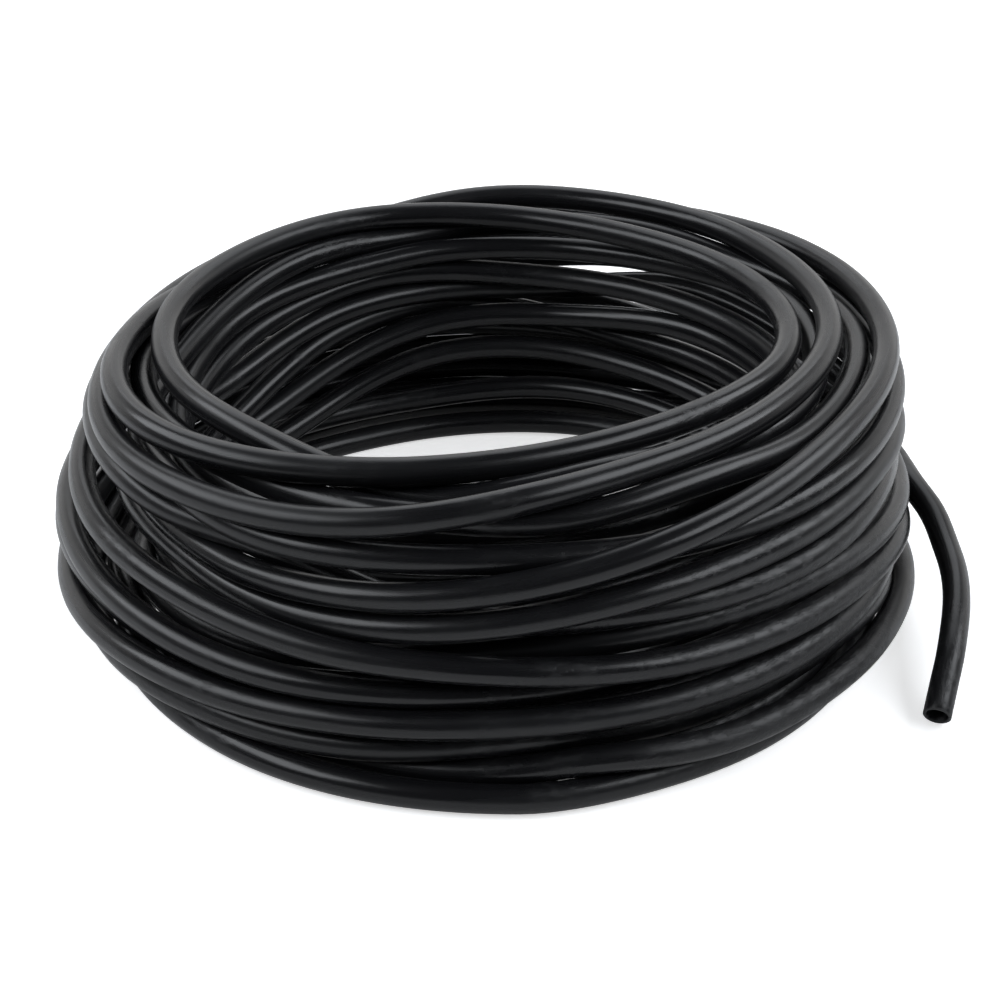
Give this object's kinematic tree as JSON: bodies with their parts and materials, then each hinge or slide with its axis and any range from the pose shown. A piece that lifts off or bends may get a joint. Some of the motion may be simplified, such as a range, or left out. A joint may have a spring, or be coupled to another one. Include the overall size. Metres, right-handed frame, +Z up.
{
  "type": "soaker hose",
  "caption": "Round coil of plain black hose lying flat, with a loose curved end whose square-cut open mouth rests on the floor.",
  "frame": {"origin": "centre of the coil's bounding box at the floor that it lies on", "axes": "+Z up along the coil's axis, +X to the side where the loose outer end leaves the coil, -Y to the side that the cut end points to"},
  "size_m": [0.5487, 0.5331, 0.17],
  "materials": {
    "hose_black": "satin"
  },
  "bodies": {
    "root": {"coil": "hose_black", "outer_tail": "hose_black", "outer_end": "hose_black"}
  },
  "joints": []
}
